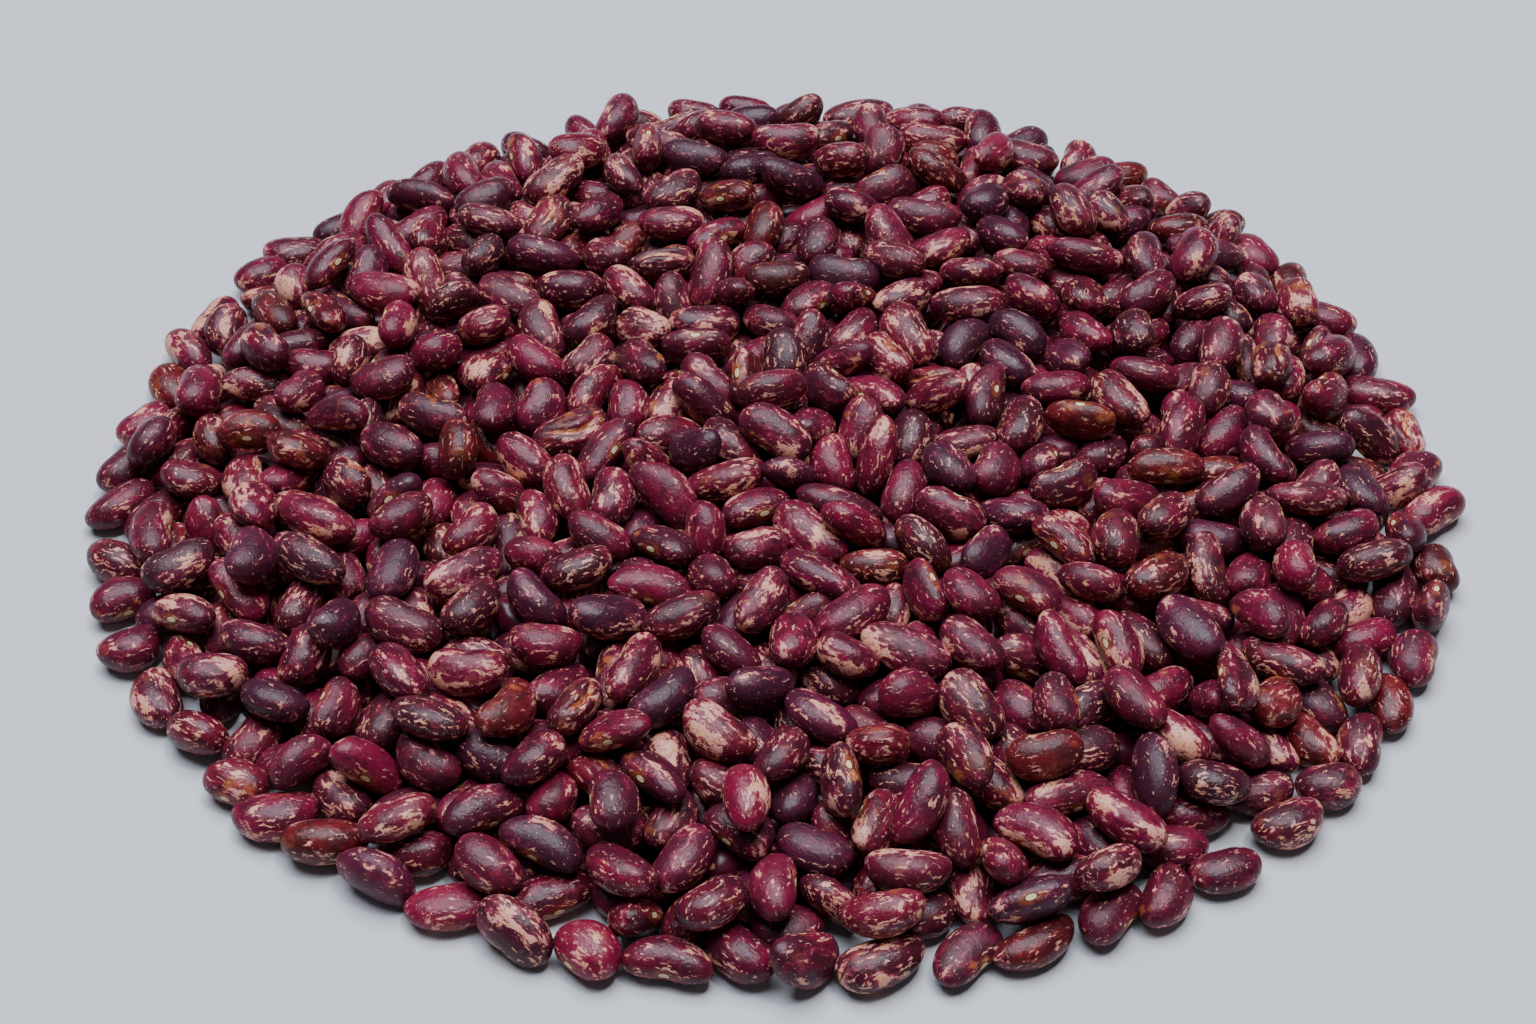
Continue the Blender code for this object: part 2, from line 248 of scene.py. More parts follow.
# cream marks: the noise's level where they start, how far a coat's kind, chance and
# place on the bean lower it, and the width of their edges
SPLASH_COMBING = 0.38
SPLASH_LEVEL = 0.878
SPLASH_GAIN = 0.105
SPLASH_SPREAD = 0.085
SPLASH_EDGE = 0.034
STREAK_LEVEL = 0.784
STREAK_GAIN = 0.075
STREAK_SPREAD = 0.24
STREAK_EDGE_GAIN = 0.045
STREAK_EDGE = 0.030
HOLE_DEPTH = 0.65

# rosy flecks, in the same way
FLECK_LEVEL = 0.745
FLECK_GAIN = 0.070
FLECK_EDGE = 0.03

# ground: how much clouds and chance deepen it, and nearness to a splash brightens it
CLOUD_GAIN = 2.2
CLOUD_SHIFT = -1.05
TONE_GAIN = 0.45
NEAR_GAIN = 1.5

# tan blush: where it starts and is full, how a coat's kind moves that, and its strength
TAN_START = 0.66
TAN_START_GAIN = 0.14
TAN_FULL = 0.74
TAN_FULL_GAIN = 0.10
TAN_LEAST = 0.10
TAN_GAIN = 0.25
TAN_BELLY = 0.55

# how well each mark covers what lies under it
CREAM_COVER = 0.93
VEIL_COVER = 0.55
FLECK_COVER = 0.80
HALO_COVER = 0.70
RING_COVER = 0.70
SLIT_COVER = 0.6

# the eye in millimetres: half its length and width, and how far to the belly's side of
# the bean's middle it starts
EYE_HALF_LENGTH = 1.02
EYE_HALF_WIDTH = 0.50
EYE_SIDE = 1.0

# gloss: roughness of a coat, and what chance, wear, cream and the eye add to it, then
# the least and the added roughness of the plainer pieces
COAT_IOR = 1.36
COAT_ROUGHNESS = 0.23
CHANCE_ROUGHNESS = 0.15
WEAR_ROUGHNESS = 0.10
CREAM_ROUGHNESS = 0.06
EYE_ROUGHNESS = 0.25
BURIED_ROUGHNESS = (0.22, 0.15)
CORE_ROUGHNESS = (0.70, 0.2)
FLOOR_ROUGHNESS = 0.9

# relief of a coat as shares of the bump's distance
GRAIN_HEIGHT = 0.040
DIMPLE_HEIGHT = 0.36
WAVE_HEIGHT = 0.09
RING_HEIGHT = 0.10
EYE_DEPTH = 0.07
BUMP_STRENGTH = 0.55
BUMP_DISTANCE = 1.0 * MM

# patches of sky: name, direction, breadth in degrees, strength and colour
SKY = (
    ("top_light", (-0.10, 0.28, 1.05), 54.0, 5.6, (0.86, 0.89, 1.0)),
    ("glints", (0.25, 0.05, 1.0), 6.0, 0.7, (1.0, 0.98, 1.0)),
    ("front_fill", (0.5, -0.9, 0.8), 40.0, 0.10, (1.0, 0.96, 0.92)),
)

# weak light from all round, and the floor's width in metres
AMBIENT_COLOUR = (0.62, 0.70, 0.84, 1)
AMBIENT_STRENGTH = 0.06
FLOOR_SIZE = 30

# camera: the photograph's viewing angle in degrees, distance, focal length and frame, and
# where the frame shows the middle of the heap's foot
CAMERA_ELEVATION = 41.5
CAMERA_DISTANCE = 0.589
CAMERA_CLIP = 10.0 * MM
FOCAL_PIXELS = 2800.0
FRAME_PIXELS = (1536, 1024)
HEAP_PIXEL = (778, 482)
SENSOR = 36.0


def outline_radius(angle):
    """The heap's radius at an angle round it."""
    radius = 1.0
    for waves, depth, phase in OUTLINE_WAVES:
        radius = radius + depth * np.cos(waves * angle + phase)
    return HEAP_RADIUS * radius


def scatter_beans(draw):
    """Centres and headings of the rim row and of each layer, before they come to rest."""
    count = int(2 * math.pi * HEAP_RADIUS / RIM_PITCH)
    step = np.arange(count) + draw.uniform(-RIM_UNEVENNESS, RIM_UNEVENNESS, count)
    angle = 2 * math.pi * step / count
    radius = outline_radius(angle) - BEAN_WIDTH * draw.uniform(*RIM_DEPTH, count)
    height = np.full(count, BEAN_THICKNESS / 2)
    centres = [np.stack([radius * np.cos(angle), radius * np.sin(angle), height], axis=1)]
    headings = [angle + math.pi / 2 + draw.normal(0, RIM_TURN, count)]
    golden = math.pi * (3 - math.sqrt(5))
    for layer, (reach, plot, thinning) in enumerate(LAYERS):
        count = int(math.pi * (reach * HEAP_RADIUS) ** 2 / plot)
        order = np.arange(count)
        angle = order * golden + LAYER_TURN * layer
        radius = reach * outline_radius(angle) * ((order + 0.5) / count) ** thinning
        x = radius * np.cos(angle) + draw.normal(0, PLACE_SPREAD, count)
        y = radius * np.sin(angle) + draw.normal(0, PLACE_SPREAD, count)
        z = BEAN_THICKNESS / 2 + LAYER_RISE * layer + draw.uniform(0, RISE_SPREAD, count)
        centres.append(np.stack([x, y, z], axis=1))
        headings.append(draw.uniform(0, 2 * math.pi, count))
    return np.concatenate(centres), np.concatenate(headings)


def bean_axes(heading, tilt, roll):
    """One matrix for each bean, whose columns run along it, across it and through it."""
    flat = np.cos(tilt)
    along = np.stack([np.cos(heading) * flat, np.sin(heading) * flat, np.sin(tilt)], axis=1)
    side = np.stack([-np.sin(heading), np.cos(heading), np.zeros(len(heading))], axis=1)
    over = np.cross(along, side)
    across = np.cos(roll)[:, None] * side + np.sin(roll)[:, None] * over
    return np.stack([along, across, np.cross(along, across)], axis=2)


def turn_axes(axes, turn):
    """The matrices turned by small rotation vectors, and squared up again."""
    along = axes[:, :, 0] + np.cross(turn, axes[:, :, 0])
    across = axes[:, :, 1] + np.cross(turn, axes[:, :, 1])
    along /= np.linalg.norm(along, axis=1, keepdims=True)
    across -= (along * across).sum(axis=1, keepdims=True) * along
    across /= np.linalg.norm(across, axis=1, keepdims=True)
    return np.stack([along, across, np.cross(along, across)], axis=2)


def near_pairs(points, owner, reach):
    """Pairs of balls of different beans that lie closer than reach."""
    cell = np.floor(points / reach).astype(np.int64)
    cell -= cell.min(axis=0) - 1
    span = cell.max(axis=0) + 2
    key = (cell[:, 0] * span[1] + cell[:, 1]) * span[2] + cell[:, 2]
    order = np.argsort(key, kind="stable")
    ordered = key[order]
    found = []
    for dx in (-1, 0, 1):
        for dy in (-1, 0, 1):
            for dz in (-1, 0, 1):
                shift = (dx * span[1] + dy) * span[2] + dz
                if shift < 0:
                    continue
                start = np.searchsorted(ordered, key + shift, "left")
                count = np.searchsorted(ordered, key + shift, "right") - start
                first = np.repeat(np.arange(len(key)), count)
                skip = np.repeat(start - np.cumsum(count) + count, count)
                second = order[skip + np.arange(count.sum())]
                keep = owner[first] != owner[second]
                if shift == 0:
                    keep &= first < second
                found.append(np.stack([first[keep], second[keep]]))
    pairs = np.concatenate(found, axis=1)
    gap = np.linalg.norm(points[pairs[0]] - points[pairs[1]], axis=1)
    return pairs[:, gap < reach]


def ball_offsets(size):
    """Four balls stand for a bean: one near each end and one at each side."""
    offsets = np.zeros((len(size), BALLS, 3))
    offsets[:, 0, 0] = -(size[:, 0] - size[:, 2]) / 2
    offsets[:, 1, 0] = (size[:, 0] - size[:, 2]) / 2
    offsets[:, 2, 1] = -(size[:, 1] - size[:, 2]) / 2
    offsets[:, 3, 1] = (size[:, 1] - size[:, 2]) / 2
    return offsets


def summed(who, values, count):
    """The rows of values added up for each bean."""
    return np.stack([np.bincount(who, values[:, k], count) for k in range(3)], axis=1)


def rest_beans(centres, axes, size):
    """Draws the beans down, and parts those that overlap, until they lie on each other."""
    count = len(centres)
    owner = np.repeat(np.arange(count), BALLS)
    radius = np.repeat(size[:, 2] / 2, BALLS)
    offsets = ball_offsets(size)
    half = size / 2
    # how hard it is to turn an ellipsoid about each of its axes, for its mass
    stiffness = (np.sum(half ** 2, axis=1, keepdims=True) - half ** 2) / 5
    pairs = None
    for step in range(REST_STEPS):
        centres[:, 2] -= SINK * max(0.0, 1 - SINK_FADE * step / REST_STEPS)
        arm = np.einsum("nij,nkj->nki", axes, offsets).reshape(-1, 3)
        ball = centres[owner] + arm
        if step % PAIR_STEPS == 0:
            pairs = near_pairs(ball, owner, 2 * radius.max() + PAIR_MARGIN)
        gap_line = ball[pairs[0]] - ball[pairs[1]]
        gap = np.linalg.norm(gap_line, axis=1)
        depth = radius[pairs[0]] + radius[pairs[1]] - gap
        touching = depth > 0
        first, second = pairs[:, touching]
        depth = depth[touching]
        push = gap_line[touching] / gap[touching][:, None]
        sunk = radius - ball[:, 2]
        floor = np.nonzero(sunk > 0)[0]
        up = np.tile([0.0, 0.0, 1.0], (len(floor), 1))
        # every contact is listed once for each bean that it moves
        contact = np.concatenate([first, second, floor])
        way = np.concatenate([push, -push, up])
        deep = np.concatenate([depth, depth, sunk[floor]])
        who = owner[contact]
        lever = np.cross(arm[contact] - way * radius[contact][:, None], way)
        own_turn = np.einsum("nji,nj->ni", axes[who], lever) / stiffness[who]
        turn = np.einsum("nij,nj->ni", axes[who], own_turn)
        ease = 1 + np.sum(lever * turn, axis=1)
        pair_ease = ease[:2 * len(first)]
        partner = np.concatenate([pair_ease[len(first):], pair_ease[:len(first)], np.zeros(len(floor))])
        share = (deep / (ease + partner))[:, None]
        calm = (CALM / np.maximum(np.bincount(who, minlength=count), CALM))[:, None]
        move = calm * summed(who, share * way, count)
        twist = calm * summed(who, share * turn, count)
        on_ground = np.bincount(owner[floor], minlength=count) > 0
        move[on_ground, :2] *= GROUND_HOLD
        centres += move
        edge = outline_radius(np.arctan2(centres[:, 1], centres[:, 0])) - OUTLINE_HOLD
        centres[:, :2] *= np.minimum(1, edge / np.hypot(centres[:, 0], centres[:, 1]))[:, None]
        axes = turn_axes(axes, np.clip(twist, -LARGEST_TURN, LARGEST_TURN))
        centres = np.round(centres, PLACE_DIGITS)
        axes = np.round(axes, AXES_DIGITS)
    return centres, axes


def lay_beans():
    """Centre, axes and size of every bean in the heap."""
    draw = np.random.default_rng(SEED)
    centres, heading = scatter_beans(draw)
    count = len(centres)
    size = np.stack([
        BEAN_LENGTH * np.clip(draw.normal(1, LENGTH_SPREAD, count), *LENGTH_LIMITS),
        BEAN_WIDTH * np.clip(draw.normal(1, GIRTH_SPREAD, count), *GIRTH_LIMITS),
        BEAN_THICKNESS * np.clip(draw.normal(1, GIRTH_SPREAD, count), *GIRTH_LIMITS),
    ], axis=1)
    tilt = draw.normal(0, TILT_SPREAD, count)
    roll = draw.normal(0, ROLL_SPREAD, count)
    centres, axes = rest_beans(centres, bean_axes(heading, tilt, roll), size)
    return centres, axes, size


def shown_cells(centres, axes, size):
    """How many cells of a map of the heap's top each bean takes."""
    cells = int(2 * MAP_REACH / MAP_CELL)
    top = np.zeros((cells, cells))
    seen = np.full((cells, cells), -1)
    for bean in range(len(centres)):
        # height of the bean's upper surface over each cell under it
        form = axes[bean] @ np.diag(4 / size[bean] ** 2) @ axes[bean].T
        low = ((centres[bean, :2] - size[bean, 0] / 2 + MAP_REACH) / MAP_CELL).astype(int)
        high = ((centres[bean, :2] + size[bean, 0] / 2 + MAP_REACH) / MAP_CELL).astype(int) + 2
        x = np.arange(low[0], high[0])[:, None] * MAP_CELL - MAP_REACH - centres[bean, 0]
        y = np.arange(low[1], high[1])[None, :] * MAP_CELL - MAP_REACH - centres[bean, 1]
        slope = form[0, 2] * x + form[1, 2] * y
        flat = form[0, 0] * x * x + 2 * form[0, 1] * x * y + form[1, 1] * y * y - 1
        root = slope ** 2 - form[2, 2] * flat
        height = centres[bean, 2] + (np.sqrt(np.maximum(root, 0)) - slope) / form[2, 2]
        patch = (slice(low[0], high[0]), slice(low[1], high[1]))
        higher = (root > 0) & (height > top[patch])
        top[patch][higher] = height[higher]
        seen[patch][higher] = bean
    return np.bincount(seen[seen >= 0], minlength=len(centres))


class Grid:
    """A closed skin of rings along an axis and sides round it, with a pole at each end."""

    def __init__(self, rings, sides):
        self.rings = rings
        self.sides = sides
        ring = np.arange(1, rings)
        side = np.arange(sides)
        along = -np.cos(math.pi * ring / rings)
        angle = 2 * math.pi * side / sides
        self.along = np.concatenate([[-1], np.repeat(along, sides), [1]])
        self.angle = np.concatenate([[0], np.tile(angle, rings - 1), [0]])
        self.round = np.concatenate([[0], np.ones((rings - 1) * sides), [0]])
        self.faces, self.spots = self.pattern()

    def vertex(self, ring, side):
        """Number of the vertex on a ring and side, where rings 0 and the last are poles."""
        inner = 1 + (ring - 1) * self.sides + side % self.sides
        last = 1 + (self.rings - 1) * self.sides
        return np.where(ring == 0, 0, np.where(ring == self.rings, last, inner))

    def pattern(self):
        """Triangles, and each corner's place in a unit tile that the skin unrolls to."""
        faces = []
        spots = []
        side = np.arange(self.sides)
        for ring in range(self.rings):
            a, b = np.full(self.sides, ring), np.full(self.sides, ring + 1)
            low, high = (side, a), (side, b)
            low_next, high_next = (side + 1, a), (side + 1, b)
            for corners in ((low, low_next, high_next), (low, high_next, high)):
                if ring == 0 and corners[1] is low_next:
                    continue
                if ring == self.rings - 1 and corners[1] is high_next:
                    continue
                faces.append(np.stack([self.vertex(r, s) for s, r in corners], axis=1))
                flat = [np.stack([s / self.sides, r / self.rings], axis=1) for s, r in corners]
                spots.append(np.stack(flat, axis=1))
        return np.concatenate(faces), np.concatenate(spots)


def smooth_noise(draw, count, waves):
    """Random wave vectors and phases for a soft lumpiness that differs for each bean."""
    return draw.normal(0, 1, (count, waves, 3)), draw.uniform(0, 2 * math.pi, (count, waves))


def lumps(unit, noise, pitch):
    """The lumpiness at points on unit beans, about -1 to 1."""
    vectors, phases = noise
    turns = np.einsum("nki,nwi->nkw", unit, vectors) * pitch + phases[:, None, :]
    return np.sin(turns).mean(axis=2) * math.sqrt(2)


def wrinkle(grid, unit, swell, draw):
    """Folds that run with the coat, and one deep one where it has split."""
    count = len(unit)
    t = grid.along[None, :]
    folds = lumps(unit * np.array(FOLD_STRETCH), smooth_noise(draw, count, FOLD_WAVES), FOLD_PITCH)
    swell = swell + FOLD_HEIGHT * np.abs(folds) - FOLD_HEIGHT / 2
    middle = draw.uniform(*SPLIT_ANGLE, (count, 1))
    sway = SPLIT_SWAY * np.sin(SWAY_PITCH * t + draw.uniform(*SWAY_START, (count, 1)))
    away = np.angle(np.exp(1j * (grid.angle[None, :] - middle - sway)))
    reach = np.clip(1 - np.abs(t / SPLIT_REACH) ** SPLIT_TAPER, 0, 1) * grid.round
    crack = np.exp(-(away / SPLIT_WIDTH) ** 2) * reach
    lips = np.exp(-((np.abs(away) - LIP_ANGLE) / LIP_WIDTH) ** 2) * reach
    return swell - SPLIT_DEPTH * crack + LIP_HEIGHT * lips, crack


def bean_skin(grid, size, draw, wrinkled=False):
    """Points of each bean about its own centre: along x, across y with its eye at -y."""
    count = len(size)
    half = size[:, None, :] / 2
    t = grid.along[None, :]
    across = np.cos(grid.angle) * grid.round
    through = np.sin(grid.angle) * grid.round
    blunt = draw.uniform(*BLUNTNESS, (count, 1))
    taper = 1 + draw.normal(0, TAPER_SPREAD, (count, 1)) * t
    fullness = np.clip(1 - np.abs(t) ** blunt, 0, 1) ** FULLNESS_POWER * taper
    bend = draw.uniform(*BEND, (count, 1))
    dent = draw.uniform(*DENT, (count, 1))
    x = half[:, :, 0] * t
    y = half[:, :, 1] * fullness * across
    z = half[:, :, 2] * fullness * through * (1 + BACK_THICKENING * across)
    unit = np.stack([t + 0 * y, y / half[:, :, 1], z / half[:, :, 2]], axis=2)
    swell = 1
    for waves, pitch, height in LUMPS:
        swell = swell + height * lumps(unit, smooth_noise(draw, count, waves), pitch)
    crack = np.zeros((count, grid.along.size))
    if wrinkled:
        swell, crack = wrinkle(grid, unit, swell, draw)
    y = y * swell
    z = z * swell
    belly = np.clip(-across, 0, 1) ** DENT_POWER
    y = y - bend * t * t + BEND_CENTRING * bend + dent * belly * np.exp(-(t / DENT_REACH) ** 2)
    return np.stack([x, y, z], axis=2), crack


def joined_mesh(name, grid, place, tiles, attributes):
    """One mesh of many skins, with each skin on its own tile of the piece's map."""
    count, points = place.shape[:2]
    faces = (grid.faces[None] + points * np.arange(count)[:, None, None]).reshape(-1)
    mesh = bpy.data.meshes.new(name)
    mesh.vertices.add(count * points)
    mesh.vertices.foreach_set("co", place.reshape(-1))
    mesh.loops.add(len(faces))
    mesh.loops.foreach_set("vertex_index", faces.astype(np.int32))
    mesh.polygons.add(len(faces) // 3)
    mesh.polygons.foreach_set("loop_start", np.arange(0, len(faces), 3, dtype=np.int32))
    mesh.update(calc_edges=True)
    layer = mesh.uv_layers.new(name="OFBake")
    layer.uv.foreach_set("vector", tiles.reshape(-1).astype(np.float32))
    for key, kind, values in attributes:
        attribute = mesh.attributes.new(key, kind, "POINT")
        slot = "vector" if kind == "FLOAT_VECTOR" else "value"
        attribute.data.foreach_set(slot, values.reshape(-1).astype(np.float32))
    mesh.validate()
    mesh.shade_smooth()
    return mesh


def tile_spots(grid, count):
    """Each corner's place on the map, one tile a bean, with a gap between the tiles."""
    columns = max(1, round(math.sqrt(count * TILE_ASPECT)))
    rows = math.ceil(count / columns)
    number = np.arange(count)
    corner = np.stack([number % columns, number // columns], axis=1)[:, None, None, :]
    inner = TILE_MARGIN + (1 - 2 * TILE_MARGIN) * grid.spots[None]
    return (corner + inner) / np.array([columns, rows])


class Nodes:
    """Short names for the shader nodes that a material needs."""

    def __init__(self, material):
        material.use_nodes = True
        self.tree = material.node_tree
        self.shader = self.tree.nodes["Principled BSDF"]

    def link(self, value, socket):
        """Feeds a socket with another node's output or with a plain value."""
        if isinstance(value, bpy.types.NodeSocket):
            self.tree.links.new(value, socket)
        else:
            socket.default_value = value

    def attribute(self, name):
        node = self.tree.nodes.new("ShaderNodeAttribute")
        node.attribute_name = name
        return node

    def object_place(self):
        return self.tree.nodes.new("ShaderNodeTexCoord").outputs["Object"]

    def math(self, operation, first, second=0.0, third=0.0):
        node = self.tree.nodes.new("ShaderNodeMath")
        node.operation = operation
        for socket, value in zip(node.inputs, (first, second, third)):
            self.link(value, socket)
        return node.outputs[0]

    def vector(self, operation, first, second):
        node = self.tree.nodes.new("ShaderNodeVectorMath")
        node.operation = operation
        self.link(first, node.inputs[0])
        self.link(second, node.inputs[1])
        return node.outputs[0]

    def scaled(self, vector, factor):
        return self.vector("MULTIPLY", vector, (factor, factor, factor))

    def split(self, vector):
        node = self.tree.nodes.new("ShaderNodeSeparateXYZ")
        self.link(vector, node.inputs[0])
        return node.outputs

    def noise(self, place, kind, output="Fac"):
        """Noise of a kind at a place: one value, or three as the output named Color."""
        node = self.tree.nodes.new("ShaderNodeTexNoise")
        self.link(place, node.inputs["Vector"])
        for name, value in zip(("Scale", "Detail", "Roughness"), NOISES[kind]):
            node.inputs[name].default_value = value
        return node.outputs[output]

    def step(self, value, low, high):
        """0 at low and 1 at high, smooth between."""
        node = self.tree.nodes.new("ShaderNodeMapRange")
        node.interpolation_type = "SMOOTHSTEP"
        self.link(value, node.inputs["Value"])
        self.link(low, node.inputs["From Min"])
        self.link(high, node.inputs["From Max"])
        return node.outputs["Result"]

    def mix(self, share, first, second):
        """The first colour passing into the second, which are the node's inputs 6 and 7."""
        node = self.tree.nodes.new("ShaderNodeMix")
        node.data_type = "RGBA"
        self.link(share, node.inputs[0])
        for value, socket in ((first, node.inputs[6]), (second, node.inputs[7])):
            self.link(value if isinstance(value, bpy.types.NodeSocket) else (*value, 1), socket)
        return node.outputs[2]


class CoatNodes(Nodes):
    """The nodes of a coat, where each bean takes its noise from a place of its own."""

    def __init__(self, material):
        super().__init__(material)
        self.place = self.attribute("coat_place").outputs["Vector"]
        self.chance = self.attribute("coat_chance").outputs["Vector"]
        self.moved = self.vector("ADD", self.place, self.scaled(self.chance, COAT_SHIFT))


class MarkedNodes(CoatNodes):
    """The nodes of a marked coat, with places for marks that wander and run along it."""

    def __init__(self, material):
        super().__init__(material)
        self.x, self.y, self.z = self.split(self.place)
        self.tone, self.marks, self.glow = self.split(self.chance)
        push = self.vector("SUBTRACT", self.noise(self.moved, "warp", "Color"), NOISE_MIDDLE)
        self.warped = self.vector("ADD", self.moved, self.scaled(push, WARP_REACH))
        self.broad = self.vector("MULTIPLY", self.warped, SPLASH_STRETCH)
        self.long = self.vector("MULTIPLY", self.warped, STREAK_STRETCH)
        self.threads = self.noise(self.long, "threads")
        self.specks = self.noise(self.warped, "specks")


def cream_marks(n, coat):
    """Cream splashes and streaks, and how near each place is to a splash."""
    # splashes whose edges are combed along the bean
    field = n.math("MULTIPLY_ADD", n.threads, SPLASH_COMBING, n.noise(n.broad, "splash"))
    level = SPLASH_LEVEL - SPLASH_GAIN * coat.splash
    level = n.math("MULTIPLY_ADD", n.marks, -SPLASH_SPREAD, level)
    splashes = n.step(field, level, n.math("ADD", level, SPLASH_EDGE))
    near = n.math("SUBTRACT", field, level)
    # fine streaks that run along the bean, most of them round its edge
    level = STREAK_LEVEL - STREAK_GAIN * coat.streak
    level = n.math("MULTIPLY_ADD", n.noise(n.moved, "streak_place"), -STREAK_SPREAD, level)
    edge = n.step(n.math("ABSOLUTE", n.y), *RANGES["bean_edge"])
    level = n.math("MULTIPLY_ADD", edge, -STREAK_EDGE_GAIN, level)
    streaks = n.step(n.threads, level, n.math("ADD", level, STREAK_EDGE))
    # ragged holes of the ground colour inside the marks
    holes = n.step(n.noise(n.warped, "holes"), *RANGES["holes"])
    cream = n.math("MAXIMUM", splashes, streaks)
    cream = n.math("MULTIPLY", cream, n.math("MULTIPLY_ADD", holes, -HOLE_DEPTH, 1.0))
    return cream, near


def ground_colour(n, coat, near):
    """Ground: bright round the splashes, deep away from them, with tan and rosy marks."""
    depth = n.math("MULTIPLY_ADD", n.noise(n.broad, "clouds"), CLOUD_GAIN, CLOUD_SHIFT)
    depth = n.math("MULTIPLY_ADD", n.tone, TONE_GAIN, depth)
    depth = n.math("MULTIPLY_ADD", near, -NEAR_GAIN, depth)
    ground = n.mix(n.step(depth, *RANGES["deep_ground"]), coat.bright, coat.deep)
    # tan blush, strongest at the belly
    start = TAN_START - TAN_START_GAIN * coat.blush
    full = TAN_FULL - TAN_FULL_GAIN * coat.blush
    blush = n.step(n.noise(n.moved, "tan_place"), start, full)
    belly = n.step(n.math("MULTIPLY", n.y, -1.0), *RANGES["belly"])
    strength = n.math("MULTIPLY_ADD", belly, TAN_BELLY, TAN_LEAST + TAN_GAIN * coat.blush)
    ground = n.mix(n.math("MULTIPLY", blush, strength), ground, TAN)
    # a rosy veil round the splashes, and soft rosy flecks
    veil = n.math("MULTIPLY", n.step(near, *RANGES["veil"]), n.step(n.specks, *RANGES["veil_specks"]))
    ground = n.mix(n.math("MULTIPLY", veil, VEIL_COVER), ground, ROSE)
    level = FLECK_LEVEL - FLECK_GAIN * coat.flecks
    flecks = n.step(n.specks, level, level + FLECK_EDGE)
    return n.mix(n.math("MULTIPLY", flecks, FLECK_COVER), ground, FLECK)


def add_eye(n, colour):
    """The colour with the pale eye on the belly, its dark ring and the tan round it."""
    across = n.math("DIVIDE", n.x, EYE_HALF_LENGTH)
    up = n.math("DIVIDE", n.z, EYE_HALF_WIDTH)
    square = n.math("ADD", n.math("MULTIPLY", across, across), n.math("MULTIPLY", up, up))
    far = n.math("SQRT", square)
    front = n.math("LESS_THAN", n.y, -EYE_SIDE)
    halo, ring, eye = (
        n.math("MULTIPLY", front, n.step(far, *RANGES[mark])) for mark in ("halo", "eye_ring", "eye")
    )
    ragged = n.step(n.noise(n.moved, "halo_edge"), *RANGES["halo_edge"])
    halo = n.math("MULTIPLY", halo, ragged)
    colour = n.mix(n.math("MULTIPLY", halo, HALO_COVER), colour, EYE_HALO)
    colour = n.mix(n.math("MULTIPLY", ring, RING_COVER), colour, EYE_RING)
    slit = n.step(n.math("ABSOLUTE", n.z), *RANGES["eye_slit"])
    colour = n.mix(eye, colour, n.mix(n.math("MULTIPLY", slit, SLIT_COVER), EYE, TAN))
    return colour, ring, eye


def coat_roughness(n, cream, eye):
    """Gloss, a little duller by chance, on worn patches, on cream and at the eye."""
    wear = n.step(n.noise(n.moved, "wear"), *RANGES["wear"])
    dull = COAT_ROUGHNESS
    for place, share in (
        (n.glow, CHANCE_ROUGHNESS),
        (wear, WEAR_ROUGHNESS),
        (cream, CREAM_ROUGHNESS),
        (eye, EYE_ROUGHNESS),
    ):
        dull = n.math("MULTIPLY_ADD", place, share, dull)
    return dull


def coat_relief(n, ring, eye):
    """Relief: fine grain, soft dimples and waves, and the eye's raised lips."""
    relief = 0.0
    for height, share in (
        (n.noise(n.long, "grain"), GRAIN_HEIGHT),
        (n.noise(n.moved, "dimples"), DIMPLE_HEIGHT),
        (n.noise(n.moved, "waves"), WAVE_HEIGHT),
        (ring, RING_HEIGHT),
        (eye, -EYE_DEPTH),
    ):
        relief = n.math("MULTIPLY_ADD", height, share, relief)
    bump = n.tree.nodes.new("ShaderNodeBump")
    bump.inputs["Strength"].default_value = BUMP_STRENGTH
    bump.inputs["Distance"].default_value = BUMP_DISTANCE
    n.link(relief, bump.inputs["Height"])
    return bump.outputs["Normal"]


def bean_material(name, coat):
    """A dry bean's coat: ground colour, cream marks, tan blush and the pale eye."""
    material = bpy.data.materials.new(name)
    n = MarkedNodes(material)
    cream, near = cream_marks(n, coat)
    cream_tone = n.step(n.noise(n.moved, "cream_tone"), *RANGES["cream_tone"])
    marks = n.mix(cream_tone, CREAM, PINK_CREAM)
    colour = n.mix(n.math("MULTIPLY", cream, CREAM_COVER), ground_colour(n, coat, near), marks)
    colour, ring, eye = add_eye(n, colour)
    # where a coat has split, the tan inside shows
    inside = n.mix(n.step(n.threads, *RANGES["inside"]), INSIDE, CREAM)
    crack = n.attribute("coat_crack").outputs["Fac"]
    colour = n.mix(n.step(crack, *RANGES["split"]), colour, inside)
    n.link(colour, n.shader.inputs["Base Color"])
    n.link(coat_roughness(n, cream, eye), n.shader.inputs["Roughness"])
    n.link(coat_relief(n, ring, eye), n.shader.inputs["Normal"])
    n.shader.inputs["IOR"].default_value = COAT_IOR
    return material


def buried_material():
    """The coat of the beans below, plain but for soft clouds of cream."""
    material = bpy.data.materials.new("buried_beans")
    n = CoatNodes(material)
    clouds = n.step(n.noise(n.moved, "buried_ground"), *RANGES["buried_ground"])
    cream = n.step(n.noise(n.moved, "buried_cream"), *RANGES["buried_cream"])
    n.link(n.mix(cream, n.mix(clouds, *BURIED_TONES), CREAM), n.shader.inputs["Base Color"])
    least, more = BURIED_ROUGHNESS
    dull = n.math("MULTIPLY_ADD", n.noise(n.moved, "buried_gloss"), more, least)
    n.link(dull, n.shader.inputs["Roughness"])
    return material


